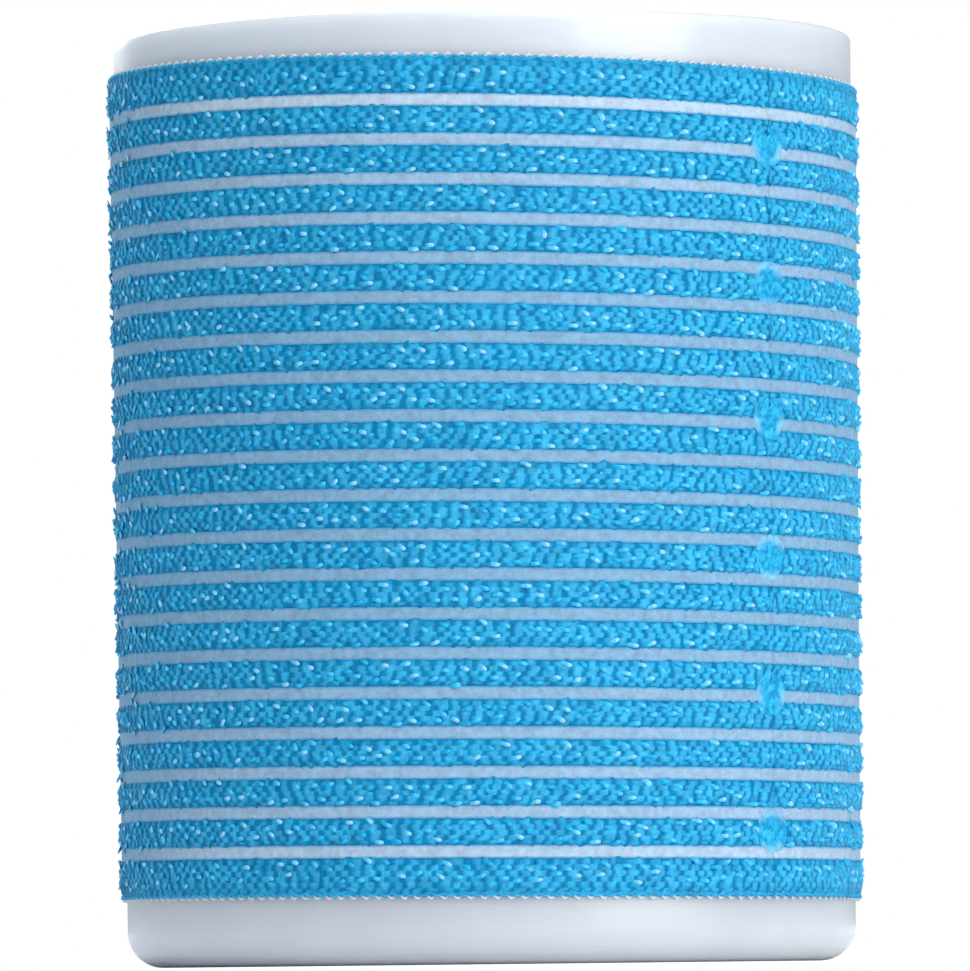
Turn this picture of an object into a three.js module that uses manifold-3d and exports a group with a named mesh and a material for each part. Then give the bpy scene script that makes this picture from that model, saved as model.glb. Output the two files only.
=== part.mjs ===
// Self-grip hair roller, 48 mm across and 60 mm long, standing upright on its rolled end.
//
// A moulded tube (core) carries one turn of woven hook tape. The tape is a thin ground cloth with
// 21 rows of hook yarn woven round it. Its two ends meet at a butt seam, and a column of six
// ultrasonic welds along that seam holds the tape to the core.
//
// Millimetres, +Z up along the roller's axis, origin at the middle of the end it stands on.
// Angles go round the axis from -Y (the front) towards +X.

import * as THREE from 'three';
import { mergeVertices } from 'three/addons/utils/BufferGeometryUtils.js';
import Module from 'manifold-3d';

const wasm = await Module();
wasm.setup();

// Core
const LENGTH = 60;
const TOP_DIAMETER = 48;
const BOTTOM_DIAMETER = 47.2; // smaller than the top by the draft of the mould
const WALL = 1.3;
const TOP_BEVEL = 0.35;
const ROLLED_CORNER_RADIUS = 2.3;
const ROLLED_LIP = 1.1; // flat ring inside the rolled corner, which the roller stands on

// Vent windows through the wall of the core, hidden by the tape
const WINDOW_COLUMNS = 14;
const WINDOW_ROWS = 4;
const WINDOW_WIDTH = 5.4;
const WINDOW_HEIGHT = 8.2;
const WINDOW_ROW_PITCH = 10;
const WINDOW_CORNER_RADIUS = 1.2;

// Hook tape
const TAPE_BOTTOM = 4.3;
const TAPE_WIDTH = 52.7;
const CLOTH_THICKNESS = 0.25;
const HOOK_ROWS = 21;
const HOOK_ROW_PITCH = 2.483;
const HOOK_ROW_WIDTH = 1.65;
const HOOK_HEIGHT = 0.4; // from the ground cloth to the hooks' tips
const SEAM_GAP = 0.15; // between the tape's two ends
const LAYER_GAP = 0.05; // between one layer and the next

// Welds along the seam
const SEAM_ANGLE = THREE.MathUtils.degToRad(48.5);
const WELDS = 6;
const WELD_PITCH = 8.7;
const WELD_MIDDLE = LENGTH / 2;
const WELD_RADIUS = 1.0;
const WELD_HOLE_RADIUS = 1.3; // what the weld leaves open in the tape
const WELD_HEIGHT = 0.25;

// How finely the round shapes are cut into flats. Every ring uses the same flats, so that each
// layer lies evenly on the one below, and the seam runs down the middle of a flat.
const FLATS = 40;
const FLAT_ANGLE = (2 * Math.PI) / FLATS;
const CORNER_STEPS = 5;
const WINDOW_CORNER_STEPS = 1; // an arc gets twice as many steps as this
const WELD_SIDES = 16;

const CUTTER_DEPTH = 8; // a cutter is this long through the wall, from inside to outside
const TAPE_MIDDLE = TAPE_BOTTOM + TAPE_WIDTH / 2;
const TOP_ROW_MIDDLE = TAPE_MIDDLE + ((HOOK_ROWS - 1) / 2) * HOOK_ROW_PITCH;

const corePlastic = new THREE.MeshStandardMaterial({ color: '#dfe6ee', roughness: 0.45, metalness: 0 });
const paleCloth = new THREE.MeshStandardMaterial({ color: '#b4cde6', roughness: 0.85, metalness: 0 });
const hookYarn = new THREE.MeshStandardMaterial({ color: '#1c97d8', roughness: 0.5, metalness: 0 });
const meltedPlastic = new THREE.MeshStandardMaterial({ color: '#7fbfe8', roughness: 0.25, metalness: 0 });

// Outer radius of the core at a height, from the draft between its two ends.
function coreRadius(height) {
  return THREE.MathUtils.lerp(BOTTOM_DIAMETER, TOP_DIAMETER, height / LENGTH) / 2;
}

// Turns a closed outline of [radius, height] points, counterclockwise, into a ring about +Z.
function ring(outline) {
  const points = [...outline, outline[0]].map(([radius, height]) => new THREE.Vector2(radius, height));
  const geometry = new THREE.LatheGeometry(points, FLATS, SEAM_ANGLE + FLAT_ANGLE / 2);
  return geometry.rotateX(Math.PI / 2);
}

// A layer of even thickness round the core, between two heights and two distances from its surface.
function layer(bottom, top, inside, outside) {
  return ring([
    [coreRadius(bottom) + inside, bottom],
    [coreRadius(bottom) + outside, bottom],
    [coreRadius(top) + outside, top],
    [coreRadius(top) + inside, top],
  ]);
}

function solidOf(geometry) {
  const bare = geometry.clone();
  bare.deleteAttribute('normal');
  bare.deleteAttribute('uv');
  const merged = mergeVertices(bare, 1e-4);
  return new wasm.Manifold(
    new wasm.Mesh({
      numProp: 3,
      vertProperties: new Float32Array(merged.attributes.position.array),
      triVerts: new Uint32Array(merged.index.array),
    }),
  );
}

function geometryOf(solid) {
  const mesh = solid.getMesh();
  const geometry = new THREE.BufferGeometry();
  geometry.setAttribute('position', new THREE.BufferAttribute(mesh.vertProperties, 3));
  geometry.setIndex(new THREE.BufferAttribute(mesh.triVerts, 1));
  geometry.computeVertexNormals();
  return geometry;
}

function cut(geometry, cutters) {
  const left = cutters.reduce((solid, cutter) => solid.subtract(solidOf(cutter)), solidOf(geometry));
  return geometryOf(left);
}

// Turns a shape made about +Z, pointing away from the axis, to an angle and a height on the roller.
function facing(geometry, angle, height, radius) {
  return geometry
    .rotateX(Math.PI / 2)
    .translate(0, -radius, height)
    .rotateZ(angle);
}

function arc(centreRadius, centreHeight, radius, fromDegrees, toDegrees) {
  return Array.from({ length: CORNER_STEPS + 1 }, (_, step) => {
    const turn = THREE.MathUtils.degToRad(
      THREE.MathUtils.lerp(fromDegrees, toDegrees, step / CORNER_STEPS),
    );
    return [centreRadius + radius * Math.cos(turn), centreHeight + radius * Math.sin(turn)];
  });
}

// The wall with its rolled bottom end, its square top end and no windows yet.
function tubeOutline() {
  const cornerCentre = coreRadius(ROLLED_CORNER_RADIUS) - ROLLED_CORNER_RADIUS;
  const lipRadius = cornerCentre - ROLLED_LIP;
  const topRadius = coreRadius(LENGTH);
  return [
    [lipRadius, 0],
    ...arc(cornerCentre, ROLLED_CORNER_RADIUS, ROLLED_CORNER_RADIUS, -90, 0),
    [topRadius, LENGTH - TOP_BEVEL],
    [topRadius - TOP_BEVEL, LENGTH],
    [topRadius - WALL, LENGTH],
    ...arc(cornerCentre, ROLLED_CORNER_RADIUS, ROLLED_CORNER_RADIUS - WALL, 0, -90),
    [lipRadius, WALL],
  ];
}

function windowOutline() {
  const x = WINDOW_WIDTH / 2;
  const y = WINDOW_HEIGHT / 2;
  const r = WINDOW_CORNER_RADIUS;
  const shape = new THREE.Shape();
  shape.moveTo(x, r - y);
  shape.lineTo(x, y - r);
  shape.absarc(x - r, y - r, r, 0, Math.PI / 2);
  shape.lineTo(r - x, y);
  shape.absarc(r - x, y - r, r, Math.PI / 2, Math.PI);
  shape.lineTo(-x, r - y);
  shape.absarc(r - x, r - y, r, Math.PI, 1.5 * Math.PI);
  shape.lineTo(x - r, -y);
  shape.absarc(x - r, r - y, r, 1.5 * Math.PI, 2 * Math.PI);
  return shape;
}

// The columns stand either side of the seam, so that the welds have solid wall under them.
function windowCutters() {
  const cutters = [];
  for (let column = 0; column < WINDOW_COLUMNS; column += 1) {
    for (let row = 0; row < WINDOW_ROWS; row += 1) {
      const angle = SEAM_ANGLE + ((column + 0.5) * 2 * Math.PI) / WINDOW_COLUMNS;
      const height = TAPE_MIDDLE + (row - (WINDOW_ROWS - 1) / 2) * WINDOW_ROW_PITCH;
      const prism = new THREE.ExtrudeGeometry(windowOutline(), {
        depth: CUTTER_DEPTH,
        bevelEnabled: false,
        curveSegments: WINDOW_CORNER_STEPS,
      });
      cutters.push(facing(prism, angle, height, coreRadius(height) - CUTTER_DEPTH / 2));
    }
  }
  return cutters;
}

function makeCore() {
  return cut(ring(tubeOutline()), windowCutters());
}

function weldHeight(index) {
  return WELD_MIDDLE + ((WELDS - 1) / 2 - index) * WELD_PITCH;
}

// What the tape leaves open: the slit between its two ends, and a round hole at each weld.
function tapeCutters() {
  const slit = new THREE.BoxGeometry(SEAM_GAP, 2 * LENGTH, CUTTER_DEPTH);
  const cutters = [facing(slit, SEAM_ANGLE, LENGTH / 2, coreRadius(LENGTH / 2))];
  for (let index = 0; index < WELDS; index += 1) {
    const height = weldHeight(index);
    const hole = new THREE.CylinderGeometry(WELD_HOLE_RADIUS, WELD_HOLE_RADIUS, CUTTER_DEPTH, WELD_SIDES);
    cutters.push(facing(hole.rotateX(Math.PI / 2), SEAM_ANGLE, height, coreRadius(height)));
  }
  return cutters;
}

function makeGroundCloth() {
  const cloth = layer(TAPE_BOTTOM, TAPE_BOTTOM + TAPE_WIDTH, LAYER_GAP, LAYER_GAP + CLOTH_THICKNESS);
  return cut(cloth, tapeCutters());
}

// One row of hook yarn, as the band that its hooks fill.
function makeHookRow(index) {
  const middle = TOP_ROW_MIDDLE - index * HOOK_ROW_PITCH;
  const inside = 2 * LAYER_GAP + CLOTH_THICKNESS;
  const half = HOOK_ROW_WIDTH / 2;
  return cut(layer(middle - half, middle + half, inside, inside + HOOK_HEIGHT), tapeCutters());
}

// One weld, as the button of melted plastic on the core in its hole through the tape.
function makeWeld(index) {
  const height = weldHeight(index);
  const flatRadius = coreRadius(height) * Math.cos(FLAT_ANGLE / 2);
  const button = new THREE.CylinderGeometry(WELD_RADIUS, WELD_RADIUS, WELD_HEIGHT, WELD_SIDES);
  const centre = flatRadius + LAYER_GAP + WELD_HEIGHT / 2;
  return facing(button.rotateX(Math.PI / 2), SEAM_ANGLE, height, centre);
}

function addPiece(group, name, geometry, material) {
  const mesh = new THREE.Mesh(geometry, material);
  mesh.name = name;
  group.add(mesh);
}

const roller = new THREE.Group();
addPiece(roller, 'core', makeCore(), corePlastic);
addPiece(roller, 'ground_cloth', makeGroundCloth(), paleCloth);
for (let index = 0; index < HOOK_ROWS; index += 1) {
  const number = String(index + 1).padStart(2, '0');
  addPiece(roller, `hook_row_${number}`, makeHookRow(index), hookYarn.clone());
}
for (let index = 0; index < WELDS; index += 1) {
  addPiece(roller, `weld_${index + 1}`, makeWeld(index), meltedPlastic.clone());
}

export default roller;
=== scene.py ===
"""The looks of a self-grip hair roller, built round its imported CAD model.

Metres, +Z up along the roller's axis. Angles go round the axis from -Y (the front) towards +X.
A place on the tape is given by its angle, its height on the roller and how far it stands above the
core's surface. on_roller turns those into x, y and z.
"""

import math

import bmesh
import bpy
import numpy as np
from mathutils import Matrix, Vector


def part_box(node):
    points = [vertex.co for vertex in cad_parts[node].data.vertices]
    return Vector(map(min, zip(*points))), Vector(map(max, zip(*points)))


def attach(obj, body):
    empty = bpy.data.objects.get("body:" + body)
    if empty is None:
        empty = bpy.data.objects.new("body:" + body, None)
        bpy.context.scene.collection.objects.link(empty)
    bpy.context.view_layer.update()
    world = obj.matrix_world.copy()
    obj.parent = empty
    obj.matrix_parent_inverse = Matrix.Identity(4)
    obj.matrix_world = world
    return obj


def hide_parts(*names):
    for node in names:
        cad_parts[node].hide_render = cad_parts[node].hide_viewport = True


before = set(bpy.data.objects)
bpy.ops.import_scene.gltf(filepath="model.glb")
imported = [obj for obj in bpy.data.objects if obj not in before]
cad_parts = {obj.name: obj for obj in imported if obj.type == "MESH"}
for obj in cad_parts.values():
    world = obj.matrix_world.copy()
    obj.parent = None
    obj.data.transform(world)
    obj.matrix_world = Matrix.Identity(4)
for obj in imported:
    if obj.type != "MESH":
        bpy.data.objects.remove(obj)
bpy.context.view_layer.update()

MM = 0.001
TURN = 2 * math.pi
SEED = 48

# ---------------------------------------------------------------- sizes from the CAD model
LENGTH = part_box("core")[1].z
TOP_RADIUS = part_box("core")[1].x
TAPE_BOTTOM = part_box("ground_cloth")[0].z
TAPE_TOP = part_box("ground_cloth")[1].z
TAPE_MIDDLE = (TAPE_BOTTOM + TAPE_TOP) / 2
ROW_NODES = sorted(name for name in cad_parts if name.startswith("hook_row_"))
ROW_BOXES = [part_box(node) for node in ROW_NODES]
ROW_MIDDLES = [(low.z + high.z) / 2 for low, high in ROW_BOXES]
ROW_HALF = (ROW_BOXES[0][1].z - ROW_BOXES[0][0].z) / 2
WELD_NODES = sorted(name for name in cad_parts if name.startswith("weld_"))
WELD_CENTRES = [(low + high) / 2 for low, high in map(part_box, WELD_NODES)]
SEAM_ANGLE = math.atan2(WELD_CENTRES[0].x, -WELD_CENTRES[0].y)

# How much the core's radius grows for each metre up.
DRAFT = (ROW_BOXES[0][1].x - ROW_BOXES[-1][1].x) / (ROW_MIDDLES[0] - ROW_MIDDLES[-1])

# How far the cloth's outer face and the hooks' tips stand above the core.
CLOTH_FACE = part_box("ground_cloth")[1].x - (TOP_RADIUS - DRAFT * (LENGTH - TAPE_TOP))
HOOK_REACH = ROW_BOXES[0][1].x - (TOP_RADIUS - DRAFT * (LENGTH - ROW_BOXES[0][1].z))

# ---------------------------------------------------------------- sizes of the core
WALL = 1.3 * MM
TOP_ROUND = 0.35 * MM
TOP_INNER_ROUND = 0.2 * MM
ROLLED_CORNER_RADIUS = 2.3 * MM
ROLLED_LIP = 1.1 * MM
LIP_ROUND = 0.35 * MM
WINDOW_COLUMNS = 14
WINDOW_ROWS = 4
WINDOW_WIDTH = 5.4 * MM
WINDOW_HEIGHT = 8.2 * MM
WINDOW_ROW_PITCH = 10 * MM
WINDOW_CORNER_RADIUS = 1.2 * MM
WINDOW_EDGE_ROUND = 0.25 * MM

# ---------------------------------------------------------------- sizes of the hook tape
CLOTH_BACK = 0.03 * MM  # the cloth's inner face above the core
WEAVE_RELIEF = 0.022 * MM
YARN_WIDTH = 0.33 * MM
RIB_CROWN = 0.11 * MM  # a blue row's woven rib above the cloth
RIB_ROUNDNESS = 2.5  # how squarely the rib stands: 2 is a parabola
RIB_FOOT = 0.02 * MM  # the rib's edges lie this far below the cloth's face
RIB_BACK = 0.04 * MM  # and its underside this far
RIB_DRIFT = 0.02 * MM  # how far the whole rib wanders up and down
FLOAT_SLOPE = 0.8  # share of a float over which it rises
FLOAT_SCATTER = 0.28  # how unevenly the floats start, in floats
LUMPS_PER_FLOAT = 3
LUMPS_PER_DRIFT = 6  # the floats' starts and the rib's drift change this much more slowly
RIB_YARN_DEPTH = 0.025 * MM
RIB_FLOAT_RISE = 0.085 * MM  # each float rises this much, then dips under the next weft
RIB_LUMP = 0.032 * MM
RIB_EDGE_WOBBLE = 0.06 * MM
RIB_EDGE_FLOATS = 1.2  # how much the outermost float adds to that
RIB_OVERLAP = 0.15 * MM  # past a rib's edge the cloth dips over this distance
RIB_BED_DEPTH = 0.05 * MM  # to this far below its face

# How bright the yarn is, from 0, deep, to 1, bright. In the blue rows this is painted shading: the yarn is
# painted darker in the valleys, on each float's drop and at the rows' edges, and lighter on its lumps.
GROUND_BRIGHTNESS = 0.6
BACK_BRIGHTNESS = 0.4
SELVEDGE_BRIGHTNESS = 0.7
VALLEY_PAINTED_SHADE = 0.1
FLOAT_PAINTED_LIGHT = 0.8
FLOAT_START_SHADE = 0.35  # painted shade: how bright a float is painted at its start, as a share
FLOAT_BRIGHTENS = 0.3  # share of a float over which its painted light grows, from its start
FLOAT_DARKENS = 0.2  # and over which it is painted darker, before its top
FLOAT_LATENESS = 0.02  # how far past its top it is fully in painted shade
LUMP_PAINTED_LIGHT = 0.08
RIB_EDGE_SHADE = 0.55  # painted shade: how much darker a row is painted at its two edges

HOOK_RADIUS = 0.135 * MM
HOOK_HALF_SPAN = 0.19 * MM
HOOK_RISE = 0.3 * MM  # a hook's top above the cloth, now that use has laid it over
HOOK_TIP_ANGLE = 15  # where the arch ends, in degrees above its far foot
HOOK_TIP_TAPER = (0.9, 0.6)  # what the last two rings' radii are cut to
HOOK_FACING = 270  # turns every hook's tip to the right, in degrees
HOOK_NAP = 0.9  # how far every hook leans round the roller, for each unit up
HOOK_LOSS = 0.06  # share of the hooks torn off in use
HOOK_ROOT_DEPTH = 0.05 * MM  # a hook's foot starts this far below the cloth's face
HOOK_CLEAR_OF_SEAM = 0.6 * MM
HOOK_CLEAR_OF_WELD = 0.15 * MM

# How unevenly the hooks stand: the spread of each quality.
HOOK_PLACE_SCATTER = 0.09  # along the row, in pitches
HOOK_SHIFT_SCATTER = 0.2 * MM  # across the row
HOOK_YAW_SCATTER = 18  # degrees
HOOK_NAP_SCATTER = 0.2
HOOK_LEAN_SCATTER = 0.2
HOOK_SIZE_SCATTER = 0.2
HOOK_TONE_SHARES = (0.3, 0.4, 0.3)  # deep, middle and pale
HOOK_WIDEST = 0.85  # how far from its row's middle a hook may stand, in half widths of the row
RUFFLED_WIDEST = 0.35  # and how much further where it is ruffled
RUFFLED_LEAN = 5  # how many times more unevenly the hooks lean there

# Wear has bent the hooks over the pale stripes in two patches. Each has its middle's angle, its reach
# and how strong it is.
RUFFLES = (
    (math.radians(-84), math.radians(42), 1.0),
    (math.radians(84), math.radians(30), 0.5),
)
RUFFLED_BLUE = 0.75  # how much of a pale stripe's paleness is hidden there
HOOK_YAWS = (5, -22)  # how far the lower and the upper line of hooks turn up, in degrees
HOOK_PITCH = 1.26 * MM
HOOK_LINE_OFFSET = 0.38 * MM  # each row has two lines of hooks, this far from its middle
SEAM_HALF_GAP = 0.005 * MM
SELVEDGE_WIDTH = 0.2 * MM
SELVEDGE_TEETH = 178
SELVEDGE_YARN = 0.09 * MM
SELVEDGE_RIPPLE = 0.05 * MM
# Each selvedge yarn's start in turns of its wave, how far out the wave's middle is, its swing and lift.
SELVEDGE_LOOPS = (
    (0.0, -0.05 * MM, 0.08 * MM, -0.02 * MM),
    (0.5, 0.02 * MM, 0.15 * MM, -0.13 * MM),
)

# The tape was wound slightly askew. On the right it lies this much lower, and on the left higher.
SKEW_AT_TOP = 0.6 * MM
SKEW_AT_BOTTOM = 0.22 * MM

# ---------------------------------------------------------------- sizes of the welds
WELD_RADIUS = 1.38 * MM
WELD_RIM_HEIGHT = 0.25 * MM
WELD_FLOOR_HEIGHT = 0.14 * MM
PRESS_REACH = 0.9 * MM  # the tape rises from pressed to loose over this distance round a weld
PRESSED_SHARE = 0.2
WELD_EDGE_HEIGHT = 0.04 * MM
WELD_GRAIN = 0.012 * MM
WELD_PALENESS = 0.32  # of the rim, where it melted out of a pale stripe
WELD_LOBES = 0.03  # how uneven a weld's outline is, as a share of its radius
WELD_BUMPS = 0.16  # and its rim's height
WELD_RIM_START = 0.6  # in weld radii
WELD_RIM_SLOPE = 0.2
# From a weld's middle out: the distance in weld radii, and the height, from 0, the floor, to 1, the rim.
WELD_PROFILE = (
    (0.0, 0.3),
    (0.12, 0.22),
    (0.3, 0.05),
    (0.5, 0.0),
    (0.65, 0.08),
    (0.75, 0.35),
    (0.84, 0.85),
    (0.92, 1.0),
    (1.0, 0.8),
    (1.08, 0.35),
    (1.16, -0.6),
)

# ---------------------------------------------------------------- how finely things are cut
TAPE_COLUMNS = 420
STRIPE_STEPS = 5
SELVEDGE_STEPS = 4
RIB_FLOATS = 168
RIB_COLUMNS = 7 * RIB_FLOATS
YARN_STEPS = 3
WINDOW_SIDE_STEPS = 12
HOOK_SIDES = 8
HOOK_STEPS = 9
TIP_HIGHLIGHT_SPANS = 5  # a hook's last steps, painted one tone paler as a painted highlight on its tip
LOOP_STEPS = 8
WELD_SIDES = 48
CORE_MERGE = 0.002 * MM  # points of the core closer than this are one point
WELD_MERGE = 0.001 * MM

# ---------------------------------------------------------------- camera
CAMERA_DISTANCE = 28 * TOP_RADIUS
CAMERA_HEIGHT = 0.1 * MM  # as low as it can be without going under the floor
CAMERA_AIM = Vector((-0.12 * MM, 0, 31.1 * MM))
CAMERA_ROLL = math.radians(-0.65)
CAMERA_LENS = 383.5
FLOOR_RADIUS = 0.28

# ---------------------------------------------------------------- colours that more than one piece has
# The blue yarn in painted shade and in painted light; each point's number blends them.
YARN_IN_PAINTED_SHADE = (0.0, 0.21, 0.43)
YARN_IN_PAINTED_LIGHT = (0.045, 0.44, 0.73)


# ================================================================ places on the roller
def core_radius(height):
    return TOP_RADIUS - DRAFT * (LENGTH - height)


def smooth_step(value):
    value = np.clip(value, 0, 1)
    return value * value * (3 - 2 * value)


def skew(angle, height):
    along = (height - TAPE_BOTTOM) / (TAPE_TOP - TAPE_BOTTOM)
    return -(SKEW_AT_BOTTOM + (SKEW_AT_TOP - SKEW_AT_BOTTOM) * along) * np.sin(angle)


def seam_distance(angle, height):
    """How far a place is from the seam along the surface, with a sign."""
    return ((angle - SEAM_ANGLE + math.pi) % TURN - math.pi) * core_radius(height)


def weld_distance(angle, height):
    """How far a place is from the nearest weld's middle, along the surface."""
    arc = seam_distance(angle, height)
    return np.min([np.hypot(arc, height - centre.z) for centre in WELD_CENTRES], axis=0)


def round_points(radius, angle, height):
    x = radius * np.sin(angle)
    y = -radius * np.cos(angle)
    return np.stack(np.broadcast_arrays(x, y, height), axis=-1)


def cylinder_points(angle, height, above):
    return round_points(core_radius(height) + above, angle, height)


def on_roller(angle, height, above):
    """Points of the tape, wound askew and pressed down at the welds."""
    height = height + skew(angle, height)
    press = smooth_step((WELD_RADIUS + PRESS_REACH / 2 - weld_distance(angle, height)) / PRESS_REACH)
    return cylinder_points(angle, height, above * (1 - (1 - PRESSED_SHARE) * press))


def ruffle(angle):
    """How ruffled the hooks are, from 0 to 1 in the middle of a worn patch."""
    patches = [
        strength * smooth_step(1 - np.abs((angle - middle + math.pi) % TURN - math.pi) / reach)
        for middle, reach, strength in RUFFLES
    ]
    return np.max(patches, axis=0)


def tape_angles(columns):
    gap = SEAM_HALF_GAP / TOP_RADIUS
    return np.linspace(SEAM_ANGLE + gap, SEAM_ANGLE + TURN - gap, columns + 1)


# ================================================================ meshes
def grid_faces(rows, columns, closed=False):
    """Quads of a grid of points stored row after row. closed joins each row's end to its start."""
    row = np.arange(rows - 1)[:, None] * columns
    column = np.arange(columns if closed else columns - 1)[None, :]
    after = (column + 1) % columns
    corners = [row + column, row + after, row + columns + after, row + columns + column]
    return np.stack([corner.ravel() for corner in corners], axis=1)


class Shape:
    """Gathers points and faces, and makes one smooth-shaded object from them."""

    def __init__(self, name, *materials):
        self.name = name
        self.materials = materials
        self.points = []
        self.faces = []
        self.slots = []
        self.values = []
        self.count = 0

    def add_points(self, points, value=0.0):
        """Adds points, each with a number for the material to read. Returns the first one's index."""
        points = points.reshape(-1, 3)
        self.points.append(points)
        self.values.append(np.broadcast_to(np.ravel(value), len(points)))
        self.count += len(points)
        return self.count - len(points)

    def add_faces(self, faces, slot=0):
        self.faces.append(faces)
        self.slots.append(np.broadcast_to(slot, len(faces)))

    def add_grid(self, grid, value=0.0, slot=0, closed=False):
        first = self.add_points(grid, value)
        self.add_faces(grid_faces(grid.shape[0], grid.shape[1], closed) + first, slot)
        return first

    def add_cap(self, corners, slot=0):
        self.add_faces(np.array([corners]), slot)

    def add_tube(self, rings, slots):
        """A tube through rings of points, with a cap at each end. slots gives each span's material."""
        count, sides = rings.shape[:2]
        first = self.add_grid(rings, slot=np.repeat(slots, sides), closed=True)
        self.add_cap(first + np.arange(sides)[::-1], slots[0])
        self.add_cap(first + (count - 1) * sides + np.arange(sides), slots[-1])

    def build(self, attribute=None, merge=0.0):
        mesh = bpy.data.meshes.new(self.name)
        points = np.concatenate(self.points)
        corners = np.concatenate([faces.ravel() for faces in self.faces])
        sizes = np.concatenate([np.full(len(faces), faces.shape[1]) for faces in self.faces])
        mesh.vertices.add(len(points))
        mesh.vertices.foreach_set("co", points.ravel())
        mesh.loops.add(len(corners))
        mesh.loops.foreach_set("vertex_index", corners.astype(np.int32))
        mesh.polygons.add(len(sizes))
        mesh.polygons.foreach_set("loop_start", (np.cumsum(sizes) - sizes).astype(np.int32))
        mesh.polygons.foreach_set("material_index", np.concatenate(self.slots).astype(np.int32))
        mesh.polygons.foreach_set("use_smooth", np.ones(len(sizes), dtype=bool))
        mesh.update(calc_edges=True)
        if attribute:
            values = mesh.attributes.new(attribute, "FLOAT", "POINT")
            values.data.foreach_set("value", np.concatenate(self.values).astype(np.float32))
        for material in self.materials:
            mesh.materials.append(material)
        made = bpy.data.objects.new(self.name, mesh)
        bpy.context.scene.collection.objects.link(made)
        tidy_mesh(mesh, merge)
        return made


def tidy_mesh(mesh, merge):
    """Merges points that meet and turns every face outwards."""
    edited = bmesh.new()
    edited.from_mesh(mesh)
    if merge:
        bmesh.ops.remove_doubles(edited, verts=edited.verts, dist=merge)
    bmesh.ops.recalc_face_normals(edited, faces=edited.faces)
    edited.to_mesh(mesh)
    edited.free()


def place_piece(made, slot, *nodes):
    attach(made, "root")
    if nodes:
        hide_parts(*nodes)
    return made


# ================================================================ materials
class Paint:
    """A material with a Principled shader, and short calls that add the nodes feeding it."""

    def __init__(self, name, **values):
        self.material = bpy.data.materials.new(name)
        self.material.use_nodes = True
        self.nodes = self.material.node_tree.nodes
        self.links = self.material.node_tree.links
        self.shader = self.nodes["Principled BSDF"]
        for socket, value in values.items():
            self.shader.inputs[socket.replace("_", " ")].default_value = value

    def feed(self, source, socket):
        self.links.new(source, self.shader.inputs[socket])

    def place(self, stretch=(1, 1, 1)):
        """The point's place in the roller's frame, stretched along x, y and z."""
        place = self.nodes.new("ShaderNodeTexCoord")
        mapping = self.nodes.new("ShaderNodeMapping")
        mapping.inputs["Scale"].default_value = stretch
        self.links.new(place.outputs["Object"], mapping.inputs["Vector"])
        return mapping.outputs["Vector"]

    def noise(self, size, detail=2.0, roughness=0.5, stretch=(1, 1, 1)):
        """Noise from 0 to 1, with lumps of about that size."""
        noise = self.nodes.new("ShaderNodeTexNoise")
        noise.inputs["Scale"].default_value = 1 / size
        noise.inputs["Detail"].default_value = detail
        noise.inputs["Roughness"].default_value = roughness
        self.links.new(self.place(stretch), noise.inputs["Vector"])
        return noise.outputs["Fac"]

    def attribute(self, name):
        attribute = self.nodes.new("ShaderNodeAttribute")
        attribute.attribute_name = name
        return attribute.outputs["Fac"]

    def height(self):
        split = self.nodes.new("ShaderNodeSeparateXYZ")
        self.links.new(self.place(), split.inputs[0])
        return split.outputs["Z"]

    def ramp(self, source, stops):
        """Colours at given values of source, blended between them."""
        ramp = self.nodes.new("ShaderNodeValToRGB")
        elements = ramp.color_ramp.elements
        while len(elements) < len(stops):
            elements.new(0.5)
        for element, (position, colour) in zip(elements, stops):
            element.position = position
            element.color = (*colour, 1)
        self.links.new(source, ramp.inputs["Fac"])
        return ramp.outputs["Color"]

    def scaled(self, source, low, high, to_low, to_high):
        """source, with low to high mapped to to_low to to_high and held there."""
        change = self.nodes.new("ShaderNodeMapRange")
        sockets = ("From Min", "From Max", "To Min", "To Max")
        for socket, value in zip(sockets, (low, high, to_low, to_high)):
            change.inputs[socket].default_value = value
        self.links.new(source, change.inputs["Value"])
        return change.outputs["Result"]

    def blended(self, factor, first, second):
        """first where factor is 0, second where it is 1. Each is a colour or another node's output."""
        mix = self.nodes.new("ShaderNodeMixRGB")
        self.links.new(factor, mix.inputs["Fac"])
        for source, socket in ((first, "Color1"), (second, "Color2")):
            if isinstance(source, tuple):
                mix.inputs[socket].default_value = (*source, 1)
            else:
                self.links.new(source, mix.inputs[socket])
        return mix.outputs["Color"]

    def multiplied(self, first, second):
        mix = self.nodes.new("ShaderNodeMixRGB")
        mix.blend_type = "MULTIPLY"
        mix.inputs["Fac"].default_value = 1
        self.links.new(first, mix.inputs["Color1"])
        self.links.new(second, mix.inputs["Color2"])
        return mix.outputs["Color"]

    def bump(self, source, distance):
        bump = self.nodes.new("ShaderNodeBump")
        bump.inputs["Distance"].default_value = distance
        self.links.new(source, bump.inputs["Height"])
        self.feed(bump.outputs["Normal"], "Normal")


def grey(level):
    return (level, level, level)


def core_plastic():
    """Satin white polypropylene, slightly translucent, with fine handling scratches round it."""
    paint = Paint(
        "core_plastic", Subsurface_Weight=1.0, Subsurface_Scale=5 * MM, IOR=1.49,
        Coat_Weight=0.8, Coat_Roughness=0.22,
    )
    paint.shader.inputs["Subsurface Radius"].default_value = (1.0, 1.05, 1.1)
    cloud = paint.noise(9 * MM, detail=3)
    cloudy = paint.ramp(cloud, [(0.3, (0.495, 0.515, 0.56)), (0.7, (0.535, 0.56, 0.605))])
    paint.feed(cloudy, "Base Color")
    scratches = paint.noise(1.6 * MM, detail=4, roughness=0.65, stretch=(1, 1, 14))
    paint.feed(paint.scaled(scratches, 0.35, 0.7, 0.34, 0.5), "Roughness")
    paint.bump(scratches, 0.012 * MM)
    return paint.material


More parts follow.
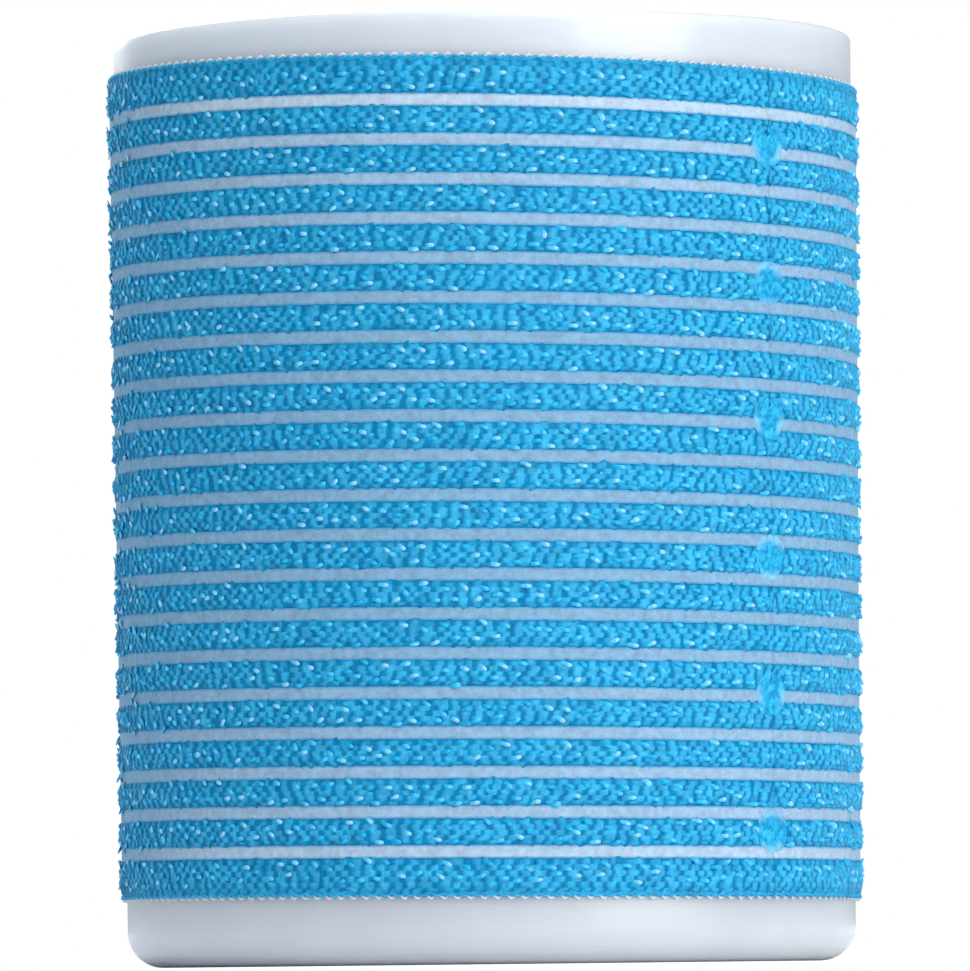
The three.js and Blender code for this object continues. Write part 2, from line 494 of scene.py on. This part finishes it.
def pale_cloth():
    """The tape's pale ground weave, bluish beside the blue rows and whitest near the tape's two edges,
    where the extra whiteness is painted light standing in for translucency.
    """
    paint = Paint("pale_cloth", Roughness=0.8, Sheen_Weight=0.2, Sheen_Roughness=0.5, IOR=1.4)
    along = paint.scaled(paint.height(), TAPE_BOTTOM, TAPE_TOP, 0, 1)
    # Painted light: the stripes are painted whiter towards the tape's two edges.
    edge = (0.31, 0.46, 0.62)
    middle = (0.20, 0.37, 0.54)
    stops = [(0.0, (0.50, 0.62, 0.74)), (0.08, edge), (0.3, middle), (0.7, middle), (0.9, edge)]
    tint = paint.ramp(along, stops + [(1.0, (0.57, 0.67, 0.77))])
    speckle = paint.noise(0.5 * MM, detail=3, roughness=0.6)
    shade = paint.ramp(speckle, [(0.3, grey(0.74)), (0.65, grey(1.02))])
    mixed = paint.blended(paint.attribute("tone_and_painted_shading"), (0.06, 0.28, 0.50), tint)
    paint.feed(paint.multiplied(mixed, shade), "Base Color")
    paint.bump(paint.noise(0.16 * MM, detail=2), 0.03 * MM)
    return paint.material


def blue_yarn(name):
    """Blue nylon yarn, with painted shade in the valleys between its floats, uneven darker patches and fine
    flecks.
    """
    paint = Paint(name, Roughness=0.5, IOR=1.45, Specular_IOR_Level=0.1)
    # Painted shading: the per-point number blends the yarn from painted shade to painted light.
    yarn = paint.ramp(paint.attribute("tone_and_painted_shading"), [(0.2, YARN_IN_PAINTED_SHADE), (0.8, YARN_IN_PAINTED_LIGHT)])
    patches = paint.noise(1.3 * MM, detail=3, roughness=0.6)
    blotchy = paint.ramp(patches, [(0.32, (0.72, 0.80, 0.86)), (0.6, grey(1.0))])
    flecks = paint.noise(0.42 * MM, detail=2, roughness=0.6)
    flecked = paint.ramp(flecks, [(0.36, grey(0.74)), (0.62, grey(1.0))])
    paint.feed(paint.multiplied(paint.multiplied(yarn, blotchy), flecked), "Base Color")
    paint.bump(paint.noise(0.12 * MM, detail=2, stretch=(1, 1, 2.5)), 0.02 * MM)
    return paint.material


def white_yarn():
    """The pale weft where it loops out of the tape's edges."""
    paint = Paint("white_yarn", Roughness=0.7, Specular_IOR_Level=0.25)
    paint.shader.inputs["Base Color"].default_value = (0.54, 0.61, 0.68, 1)
    paint.bump(paint.noise(0.08 * MM, detail=1), 0.01 * MM)
    return paint.material


def hook_filament(name, colour):
    """Glossy, slightly translucent blue monofilament."""
    paint = Paint(
        name, Roughness=0.5, Specular_IOR_Level=0.28, Subsurface_Weight=0.2, Subsurface_Scale=0.3 * MM,
    )
    paint.shader.inputs["Base Color"].default_value = (*colour, 1)
    paint.bump(paint.noise(0.1 * MM, detail=1), 0.006 * MM)
    return paint.material


def melted_plastic():
    """Tape and core melted together by the welding horn. It keeps a trace of the tape's stripes."""
    paint = Paint("melted_plastic", Specular_IOR_Level=0.25)
    cloud = paint.noise(0.45 * MM, detail=3, roughness=0.6)
    stops = [(0.36, (0.0, 0.19, 0.38)), (0.5, (0.003, 0.33, 0.60)), (0.66, (0.04, 0.44, 0.72))]
    flow = paint.ramp(cloud, stops)
    paint.feed(paint.blended(paint.attribute("paleness"), flow, (0.55, 0.68, 0.78)), "Base Color")
    paint.feed(paint.scaled(cloud, 0.3, 0.7, 0.55, 0.8), "Roughness")
    paint.bump(paint.noise(0.3 * MM, detail=2), 0.04 * MM)
    return paint.material


# ================================================================ the core
def arc_points(centre_radius, centre_height, radius, from_degrees, to_degrees, steps):
    turn = np.radians(np.linspace(from_degrees, to_degrees, steps + 1))
    return list(zip(centre_radius + radius * np.cos(turn), centre_height + radius * np.sin(turn)))


def skin_points(heights, above):
    return [(core_radius(height) + above, height) for height in heights]


def top_band(bottom):
    """Profile of the band above the windows, from its outer skin over the rim to its inner skin.

    Each straight stretch starts a little way past its rounded edge, so that it is shaded flat.
    """
    outer = core_radius(LENGTH)
    inner = outer - WALL
    heights = np.linspace(bottom, LENGTH - 2 * TOP_ROUND, 5)
    return (
        skin_points(heights, 0)
        + arc_points(outer - TOP_ROUND, LENGTH - TOP_ROUND, TOP_ROUND, 0, 90, steps=5)
        + [(outer - 1.6 * TOP_ROUND, LENGTH), (inner + 2 * TOP_INNER_ROUND, LENGTH)]
        + arc_points(inner + TOP_INNER_ROUND, LENGTH - TOP_INNER_ROUND, TOP_INNER_ROUND, 90, 180, steps=3)
        + skin_points(heights[::-1], -WALL)
    )


def bottom_band(top):
    """Profile of the band below the windows, from its outer skin round the rolled end to its inner skin."""
    centre = core_radius(ROLLED_CORNER_RADIUS) - ROLLED_CORNER_RADIUS
    lip = centre - ROLLED_LIP + LIP_ROUND
    heights = np.linspace(top, 1.3 * ROLLED_CORNER_RADIUS, 5)
    return (
        skin_points(heights, 0)
        + arc_points(centre, ROLLED_CORNER_RADIUS, ROLLED_CORNER_RADIUS, 0, -90, steps=10)
        + arc_points(lip, LIP_ROUND, LIP_ROUND, -90, -180, steps=4)
        + arc_points(lip, WALL - LIP_ROUND, LIP_ROUND, 180, 90, steps=4)
        + arc_points(centre, ROLLED_CORNER_RADIUS, ROLLED_CORNER_RADIUS - WALL, -90, 0, steps=6)
        + skin_points(heights[::-1], -WALL)
    )


def corner_signs():
    return [np.array(signs) for signs in ((1, 1), (-1, 1), (-1, -1), (1, -1))]


def window_outline(grow):
    """A window's rounded rectangle, grown on every side, as (across, up) points from its middle."""
    half = np.array([WINDOW_WIDTH, WINDOW_HEIGHT]) / 2 + grow
    radius = WINDOW_CORNER_RADIUS + grow
    steps = WINDOW_SIDE_STEPS // 2
    corners = []
    for quarter, signs in enumerate(corner_signs()):
        turn = (quarter + np.linspace(0, 1, steps + 1)) * math.pi / 2
        centre = signs * (half - radius)
        corners.append(centre + radius * np.stack([np.cos(turn), np.sin(turn)], axis=1))
    points = []
    for corner, following in zip(corners, corners[1:] + corners[:1]):
        share = np.linspace(0, 1, steps + 1)[1:-1, None]
        points += [corner, corner[-1] + share * (following[0] - corner[-1])]
    return np.concatenate(points)


def cell_outline(half_width, half_height):
    """The rectangle of wall round a window, as points that pair up with the window's outline."""
    corners = [signs * np.array([half_width, half_height]) for signs in corner_signs()]
    share = np.arange(WINDOW_SIDE_STEPS)[:, None] / WINDOW_SIDE_STEPS
    sides = [start + share * (end - start) for start, end in zip(corners, corners[1:] + corners[:1])]
    return np.roll(np.concatenate(sides), WINDOW_SIDE_STEPS // 4, axis=0)


def window_rings():
    """Rings of (across, up) points and their depths, from the cell's edge through the window and back."""
    cell = cell_outline(math.pi * TOP_RADIUS / WINDOW_COLUMNS, WINDOW_ROW_PITCH / 2)
    edge = window_outline(WINDOW_EDGE_ROUND)
    wall = [(edge + share * (cell - edge), 0.0) for share in (1, 0.66, 0.33, 0.1, 0)]
    turns = np.radians([30, 60, 90])
    bend = [
        (window_outline(WINDOW_EDGE_ROUND * (1 - math.sin(turn))), WINDOW_EDGE_ROUND * (1 - math.cos(turn)))
        for turn in turns
    ]
    outside = wall + bend
    return outside + [(outline, WALL - depth) for outline, depth in outside[::-1]]


def make_core():
    """The moulded tube: two plain bands, and between them a lattice of windows under the tape."""
    shape = Shape("core_tube", core_plastic())
    bottom = TAPE_MIDDLE - WINDOW_ROWS * WINDOW_ROW_PITCH / 2
    top = TAPE_MIDDLE + WINDOW_ROWS * WINDOW_ROW_PITCH / 2
    columns = WINDOW_COLUMNS * WINDOW_SIDE_STEPS
    angles = SEAM_ANGLE + np.arange(columns) * TURN / columns
    for profile in (top_band(top), bottom_band(bottom)):
        radius, height = np.array(profile).T[:, :, None]
        shape.add_grid(round_points(radius, angles, height), closed=True)
    rings = window_rings()
    outlines = np.array([outline for outline, _ in rings])
    depths = np.array([depth for _, depth in rings])[:, None]
    for column in range(WINDOW_COLUMNS):
        for row in range(WINDOW_ROWS):
            angle = SEAM_ANGLE + (column + 0.5) * TURN / WINDOW_COLUMNS + outlines[:, :, 0] / TOP_RADIUS
            height = bottom + (row + 0.5) * WINDOW_ROW_PITCH + outlines[:, :, 1]
            shape.add_grid(cylinder_points(angle, height, -depths), closed=True)
    return place_piece(shape.build(merge=CORE_MERGE), "core_plastic", "core")


# ================================================================ the hook tape
def stripes():
    """Bottom and top height of each pale stripe, from the lowest up."""
    middles = ROW_MIDDLES[::-1]
    return [(low + ROW_HALF, high - ROW_HALF) for low, high in zip(middles, middles[1:])]


def cloth_lines():
    """The cloth's outer face as lines round the roller, from the lowest up.

    Each has its height, how far it stands above the core, the sign of its weave, its material's slot
    and its tone, the number that its material blends its colours by.
    """
    pale, blue = 0, 1
    rib_bed = CLOTH_FACE - RIB_BED_DEPTH
    bottom_edge = np.linspace(TAPE_BOTTOM, ROW_MIDDLES[-1] - ROW_HALF, SELVEDGE_STEPS + 1)
    top_edge = np.linspace(ROW_MIDDLES[0] + ROW_HALF, TAPE_TOP, SELVEDGE_STEPS + 1)
    lines = [(height, CLOTH_FACE, 0, blue, GROUND_BRIGHTNESS) for height in bottom_edge]
    for low, high in stripes():
        lines.append((low - RIB_OVERLAP, rib_bed, 0, blue, GROUND_BRIGHTNESS))
        lines.append((low, CLOTH_FACE, 0, pale, 0))
        inside = np.linspace(low, high, STRIPE_STEPS + 1)[1:-1]
        lines += [(height, CLOTH_FACE, (-1) ** step, pale, 1) for step, height in enumerate(inside)]
        lines.append((high, CLOTH_FACE, 0, blue, 0))
        lines.append((high + RIB_OVERLAP, rib_bed, 0, blue, GROUND_BRIGHTNESS))
    return lines + [(height, CLOTH_FACE, 0, blue, GROUND_BRIGHTNESS) for height in top_edge]


def make_ground_cloth():
    """The woven ground of the tape: pale between the rows of hooks, blue at its two selvedges."""
    shape = Shape("tape_ground", pale_cloth(), blue_yarn("blue_ground"))
    lines = cloth_lines()
    angles = tape_angles(TAPE_COLUMNS)
    height, above, weave, slots, tone_and_painted_shading = np.array(lines).T[:, :, None]
    weft = np.where(np.arange(TAPE_COLUMNS + 1) % 2, 1.0, -1.0)
    outer = on_roller(angles, height, above + WEAVE_RELIEF * weave * weft)
    columns = TAPE_COLUMNS + 1
    face_slots = np.repeat(slots[:-1, 0].astype(int), TAPE_COLUMNS)
    hidden = RUFFLED_BLUE * ruffle(angles) * (slots == 0)
    shape.add_grid(outer, value=tone_and_painted_shading * (1 - hidden), slot=face_slots)
    colour_changes = np.flatnonzero(np.diff(slots[:, 0])) + 1
    back_rows = [0, *colour_changes, len(lines) - 1]
    back = on_roller(angles, height[back_rows], CLOTH_BACK)
    back_slots = np.repeat(slots[back_rows[:-1], 0].astype(int), TAPE_COLUMNS)
    first_back = shape.add_grid(back, value=BACK_BRIGHTNESS, slot=back_slots)
    column = np.arange(TAPE_COLUMNS)
    for row, back_row in ((0, 0), (len(lines) - 1, len(back_rows) - 1)):
        front = row * columns + column
        back = first_back + back_row * columns + column
        shape.add_faces(np.stack([front, front + 1, back + 1, back], axis=1), slot=1)
    for column in (0, TAPE_COLUMNS):
        front = np.arange(len(lines)) * columns + column
        back = first_back + np.arange(len(back_rows))[::-1] * columns + column
        shape.add_cap(np.concatenate([front, back]), slot=1)
    return place_piece(shape.build(attribute="tone_and_painted_shading"), "ground_cloth", "ground_cloth")


def rib_span(number):
    """Bottom and top of one blue row. The end rows reach out to the tape's edges."""
    middle = ROW_MIDDLES[number - 1]
    low = TAPE_BOTTOM + SELVEDGE_WIDTH if number == len(ROW_MIDDLES) else middle - ROW_HALF
    high = TAPE_TOP - SELVEDGE_WIDTH if number == 1 else middle + ROW_HALF
    return low, high


def make_rib(number, material, chance):
    """The blue ground of one row: parallel yarns whose floats pass over and under the weft.

    A float rises slowly round the roller and then drops, and the drop is painted dark, as painted shade.
    So the row looks deep from one side and bright from the other. The valleys between its yarns and its
    two edges are painted shade too, and its lumps are painted lighter.
    """
    shape = Shape(f"hook_rib_{number:02d}", material)
    low, high = rib_span(number)
    yarns = round((high - low) / YARN_WIDTH)
    angles = tape_angles(RIB_COLUMNS)
    step = np.arange(YARN_STEPS * yarns + 1)
    across = np.linspace(-1, 1, len(step))[:, None]
    edgeness = np.abs(across) ** 3
    yarn = step // YARN_STEPS
    in_valley = (step % YARN_STEPS == 0)[:, None]
    knots = np.linspace(angles[0], angles[-1], LUMPS_PER_FLOAT * RIB_FLOATS)
    coarse = knots[::LUMPS_PER_DRIFT]
    offsets = chance.normal(0, FLOAT_SCATTER, (yarns + 1, len(coarse)))
    starts = 0.5 * np.arange(yarns + 1)[:, None] + offsets
    start = np.array([np.interp(angles, coarse, values) for values in starts])[yarn]
    along_float = ((angles - SEAM_ANGLE) / TURN * RIB_FLOATS + start) % 1
    wave = np.minimum(along_float / FLOAT_SLOPE, (1 - along_float) / (1 - FLOAT_SLOPE))
    lumps = np.array([np.interp(angles, knots, chance.normal(0, 1, len(knots))) for _ in range(yarns + 1)])
    drift = RIB_DRIFT * np.interp(angles, coarse, chance.normal(0, 1, len(coarse)))

    crown = RIB_CROWN * (1 - np.abs(across) ** RIB_ROUNDNESS)
    rise = RIB_FLOAT_RISE * (wave - 0.5) - RIB_YARN_DEPTH * in_valley
    above = CLOTH_FACE + crown + rise + RIB_LUMP * lumps[yarn]
    above[[0, -1]] = CLOTH_FACE - RIB_FOOT
    ragged = np.where(across > 0, lumps[0], lumps[-1]) + RIB_EDGE_FLOATS * wave[:1]
    sway = RIB_EDGE_WOBBLE * edgeness * ragged * np.sign(across)
    height = (low + high) / 2 + (high - low) / 2 * across + sway + drift
    underside = np.full((2, RIB_COLUMNS + 1), CLOTH_FACE - RIB_BACK)
    above = np.concatenate([above, underside])
    height = np.concatenate([height, height[[-1, 0]]])

    # Painted shading: lit on each float's rise, shaded on its drop, in the valleys and at the edges, and
    # lighter on the lumps.
    opening = FLOAT_START_SHADE + (1 - FLOAT_START_SHADE) * smooth_step(along_float / FLOAT_BRIGHTENS)
    closing = smooth_step((FLOAT_SLOPE + FLOAT_LATENESS - along_float) / FLOAT_DARKENS)
    tone_and_painted_shading = VALLEY_PAINTED_SHADE + FLOAT_PAINTED_LIGHT * opening * closing
    tone_and_painted_shading += LUMP_PAINTED_LIGHT * lumps[yarn] - VALLEY_PAINTED_SHADE * in_valley
    tone_and_painted_shading *= 1 - RIB_EDGE_SHADE * edgeness
    tone_and_painted_shading = np.concatenate([tone_and_painted_shading, np.zeros_like(underside)])

    sides = len(step) + 2
    first = shape.add_grid(on_roller(angles, height, above).transpose(1, 0, 2), tone_and_painted_shading.T, closed=True)
    for column in (0, RIB_COLUMNS):
        shape.add_cap(first + column * sides + np.arange(sides))
    return place_piece(shape.build(attribute="tone_and_painted_shading"), "hook_yarn", ROW_NODES[number - 1])


def tube_rings(path, radii, sides):
    """Rings of (along, across, up) points round a path of (across, up) points."""
    ahead = np.gradient(path, axis=0)
    ahead /= np.linalg.norm(ahead, axis=1, keepdims=True)
    normal = np.stack([-ahead[:, 1], ahead[:, 0]], axis=1)
    turn = np.arange(sides) * TURN / sides
    out = radii[:, None] * np.cos(turn)
    along = radii[:, None] * np.sin(turn)
    across = path[:, 0, None] + out * normal[:, 0, None]
    up = path[:, 1, None] + out * normal[:, 1, None]
    return np.stack([along, across, up], axis=-1)


def hook_template():
    """One cut loop as a tube: it rises from the cloth, arches over and ends in a free tip."""
    foot = CLOTH_FACE - HOOK_ROOT_DEPTH
    crown = CLOTH_FACE + HOOK_RISE - HOOK_RADIUS
    arch_foot = (foot + crown) / 2
    turn = np.radians(np.linspace(180, HOOK_TIP_ANGLE, HOOK_STEPS))
    arch = np.stack([HOOK_HALF_SPAN * np.cos(turn), arch_foot + (crown - arch_foot) * np.sin(turn)], axis=1)
    hook = np.concatenate([[(-HOOK_HALF_SPAN, foot)], arch])
    radii = np.full(len(hook), HOOK_RADIUS)
    radii[-2:] *= HOOK_TIP_TAPER
    return tube_rings(hook, radii, HOOK_SIDES)


def make_hooks(number, middle, materials, chance):
    """One row's cut hooks, in two staggered lines. materials go from the deepest tone to the palest, and
    the last is a painted highlight, used only on hook tips.
    """
    shape = Shape(f"hooks_{number:02d}", *materials)
    template = hook_template()
    count = int(TURN * TOP_RADIUS / HOOK_PITCH)
    for line, (offset, line_yaw) in enumerate(zip((-HOOK_LINE_OFFSET, HOOK_LINE_OFFSET), HOOK_YAWS)):
        places = np.arange(count) + 0.25 + 0.5 * line + chance.normal(0, HOOK_PLACE_SCATTER, count)
        angles = SEAM_ANGLE + places * TURN / count
        ruffled = ruffle(angles)
        widest = (HOOK_WIDEST + RUFFLED_WIDEST * ruffled) * ROW_HALF
        shifts = offset + chance.normal(0, HOOK_SHIFT_SCATTER, count) * (1 + ruffled)
        heights = middle + np.clip(shifts, -widest, widest)
        yaws = np.radians(HOOK_FACING + chance.normal(line_yaw, HOOK_YAW_SCATTER, count))
        naps = chance.normal(HOOK_NAP, HOOK_NAP_SCATTER, count)
        leans = chance.normal(0, HOOK_LEAN_SCATTER, count) * (1 + RUFFLED_LEAN * ruffled)
        sizes = 1 - np.abs(chance.normal(0, HOOK_SIZE_SCATTER, count))
        tones = chance.choice(len(HOOK_TONE_SHARES), count, p=HOOK_TONE_SHARES)
        clear = np.abs(seam_distance(angles, heights)) > HOOK_CLEAR_OF_SEAM
        skewed = heights + skew(angles, heights)
        clear &= weld_distance(angles, skewed) > WELD_RADIUS + HOOK_CLEAR_OF_WELD
        clear &= chance.random(count) > HOOK_LOSS
        qualities = (angles, heights, yaws, naps, leans, sizes, tones)
        for hook in zip(*(values[clear] for values in qualities)):
            add_hook(shape, template, *hook)
    return place_piece(shape.build(), "hook_yarn", ROW_NODES[number - 1])


def add_hook(shape, template, angle, height, yaw, nap, lean, size, tone):
    """A copy of the template, turned by yaw and leaned by nap round the roller and by lean along it."""
    along, across, up = np.moveaxis(template, -1, 0)
    rise = (up - CLOTH_FACE) * size
    ahead = along * math.cos(yaw) - across * math.sin(yaw) + nap * rise
    sideways = along * math.sin(yaw) + across * math.cos(yaw) + lean * rise
    above = np.minimum(CLOTH_FACE + rise, HOOK_REACH)
    slots = np.full(HOOK_STEPS, tone)
    # Painted highlight: the tip is one tone paler.
    slots[-TIP_HIGHLIGHT_SPANS:] = tone + 1
    shape.add_tube(on_roller(angle + ahead / TOP_RADIUS, height + sideways, above), slots)


def make_selvedge(name, edge, outward, *materials):
    """The yarns along the tape's edge: a blue one, and the pale weft, whose loops stick out as teeth."""
    shape = Shape(name, *materials)
    steps = SELVEDGE_TEETH * LOOP_STEPS
    angles = tape_angles(steps)
    turn = np.arange(HOOK_SIDES)[:, None] * TURN / HOOK_SIDES
    for slot, (start, reach, swing, lift) in enumerate(SELVEDGE_LOOPS):
        phase = (angles - SEAM_ANGLE) * SELVEDGE_TEETH + start * TURN
        height = edge + outward * (reach + swing * np.cos(phase)) + SELVEDGE_YARN * np.cos(turn)
        above = CLOTH_FACE + lift + SELVEDGE_RIPPLE * np.cos(phase + 1) + SELVEDGE_YARN * np.sin(turn)
        grid = on_roller(angles, height, above).transpose(1, 0, 2)
        first = shape.add_grid(grid, value=SELVEDGE_BRIGHTNESS, slot=slot, closed=True)
        for column in (0, steps):
            shape.add_cap(first + column * HOOK_SIDES + np.arange(HOOK_SIDES), slot)
    return place_piece(shape.build(attribute="tone_and_painted_shading"), "hook_yarn")


def make_tape():
    chance = np.random.default_rng(SEED)
    ground = make_ground_cloth()
    rib_yarn = blue_yarn("rib_yarn")
    filaments = [
        hook_filament("hook_filament_deep", (0.0, 0.33, 0.62)),
        hook_filament("hook_filament_mid", (0.01, 0.41, 0.71)),
        hook_filament("hook_filament_pale", (0.07, 0.50, 0.78)),
        # Only for the tips of the palest hooks: a painted highlight.
        hook_filament("hook_filament_tip_highlight", (0.24, 0.57, 0.78)),
    ]
    weft_yarn = white_yarn()
    woven_in = [
        make_selvedge("selvedge_top", TAPE_TOP, 1, rib_yarn, weft_yarn),
        make_selvedge("selvedge_bottom", TAPE_BOTTOM, -1, rib_yarn, weft_yarn),
    ]
    for number, middle in enumerate(ROW_MIDDLES, start=1):
        woven_in.append(make_rib(number, rib_yarn, chance))
        woven_in.append(make_hooks(number, middle, filaments, chance))


# ================================================================ the welds
def stripe_paleness(angle, height):
    """1 in the middle of a pale stripe, and 0 under a blue row, for places round the roller."""
    height = height - skew(angle, height)
    offsets = [np.abs(height - (low + high) / 2) / (high - low) for low, high in stripes()]
    return 1 - smooth_step(np.min(offsets, axis=0))


def uneven(turn, spread, waves, chance):
    """A random sum of waves round a circle."""
    return sum(chance.normal(0, spread) * np.cos(wave * turn + chance.uniform(0, TURN)) for wave in waves)


def make_weld(number, centre, material, chance):
    """A dish of melted plastic, with the raised rim that the welding horn pushed up."""
    shape = Shape(f"weld_dish_{number}", material)
    shares, lifts = np.array(WELD_PROFILE).T[:, :, None]
    turn = np.linspace(0, TURN, WELD_SIDES, endpoint=False)
    lobes = uneven(turn, WELD_LOBES, (2, 3, 5, 7), chance)
    bumps = uneven(turn, WELD_BUMPS, (1, 2, 4, 9), chance)
    reach = WELD_RADIUS * shares * (1 + lobes * shares)
    on_rim = smooth_step((shares - WELD_RIM_START) / WELD_RIM_SLOPE)
    above = WELD_FLOOR_HEIGHT + (WELD_RIM_HEIGHT - WELD_FLOOR_HEIGHT) * lifts * (1 + bumps * on_rim)
    above += chance.normal(0, WELD_GRAIN, above.shape) * (shares > 0)
    above[-1] = WELD_EDGE_HEIGHT
    angle = SEAM_ANGLE + reach * np.sin(turn) / core_radius(centre.z)
    height = centre.z + reach * np.cos(turn)
    paleness = WELD_PALENESS * stripe_paleness(angle, height) * on_rim
    first = shape.add_grid(cylinder_points(angle, height, above), value=paleness, closed=True)
    shape.add_cap(first + (len(shares) - 1) * WELD_SIDES + np.arange(WELD_SIDES)[::-1])
    made = shape.build(attribute="paleness", merge=WELD_MERGE)
    return place_piece(made, "weld_plastic", WELD_NODES[number - 1])


def make_welds():
    chance = np.random.default_rng(SEED + 1)
    material = melted_plastic()
    for number, centre in enumerate(WELD_CENTRES, start=1):
        make_weld(number, centre, material, chance)


# ================================================================ the studio
def make_camera():
    camera = bpy.data.objects.new("camera", bpy.data.cameras.new("camera"))
    bpy.context.scene.collection.objects.link(camera)
    camera.data.lens = CAMERA_LENS
    camera.data.clip_start = 0.05
    camera.data.clip_end = 20
    camera.location = (CAMERA_AIM.x, -CAMERA_DISTANCE, CAMERA_HEIGHT)
    look = (CAMERA_AIM - camera.location).to_track_quat("-Z", "Y").to_matrix().to_4x4()
    camera.matrix_world = Matrix.Translation(camera.location) @ look @ Matrix.Rotation(CAMERA_ROLL, 4, "Z")
    bpy.context.scene.camera = camera


def make_world(light_level):
    """A plain white backdrop that lights the roller more softly than it looks."""
    world = bpy.data.worlds.new("studio")
    world.use_nodes = True
    nodes, links = world.node_tree.nodes, world.node_tree.links
    seen = nodes["Background"]
    seen.inputs["Color"].default_value = (1, 1, 1, 1)
    seen.inputs["Strength"].default_value = 1.0
    lighting = nodes.new("ShaderNodeBackground")
    lighting.inputs["Color"].default_value = (0.80, 0.91, 1.0, 1)
    lighting.inputs["Strength"].default_value = light_level
    path = nodes.new("ShaderNodeLightPath")
    mix = nodes.new("ShaderNodeMixShader")
    links.new(path.outputs["Is Camera Ray"], mix.inputs["Fac"])
    links.new(lighting.outputs["Background"], mix.inputs[1])
    links.new(seen.outputs["Background"], mix.inputs[2])
    links.new(mix.outputs["Shader"], nodes["World Output"].inputs["Surface"])
    bpy.context.scene.world = world


def add_softbox(name, azimuth, elevation, distance, size, power):
    """A square area light, aimed at the roller's middle. Azimuth goes from the front to the right."""
    light = bpy.data.lights.new(name, "AREA")
    light.size = size
    light.energy = power
    softbox = bpy.data.objects.new(name, light)
    around, up = math.radians(azimuth), math.radians(elevation)
    away = Vector((math.sin(around) * math.cos(up), -math.cos(around) * math.cos(up), math.sin(up)))
    softbox.location = Vector((0, 0, LENGTH / 2)) + distance * away
    softbox.rotation_euler = away.to_track_quat("Z", "Y").to_euler()
    bpy.context.scene.collection.objects.link(softbox)


def make_floor():
    paint = Paint("floor_paper", Roughness=0.9, Specular_IOR_Level=0.1)
    paint.shader.inputs["Base Color"].default_value = (0.97, 0.97, 0.97, 1)
    bpy.ops.mesh.primitive_circle_add(vertices=96, radius=FLOOR_RADIUS, fill_type="NGON")
    floor = bpy.context.object
    floor.name = "floor"
    floor.data.materials.append(paint.material)


def make_studio():
    bpy.context.scene.view_settings.view_transform = "Standard"
    make_world(light_level=0.5)
    add_softbox("key_light", azimuth=48, elevation=14, distance=1.6, size=1.1, power=15)
    add_softbox("front_light", azimuth=12, elevation=28, distance=1.6, size=1.1, power=9.5)
    add_softbox("back_light", azimuth=195, elevation=25, distance=1.6, size=1.1, power=8)
    add_softbox("top_light", azimuth=0, elevation=88, distance=1.8, size=1.4, power=15)
    make_floor()


make_camera()
make_studio()
make_core()
make_tape()
make_welds()
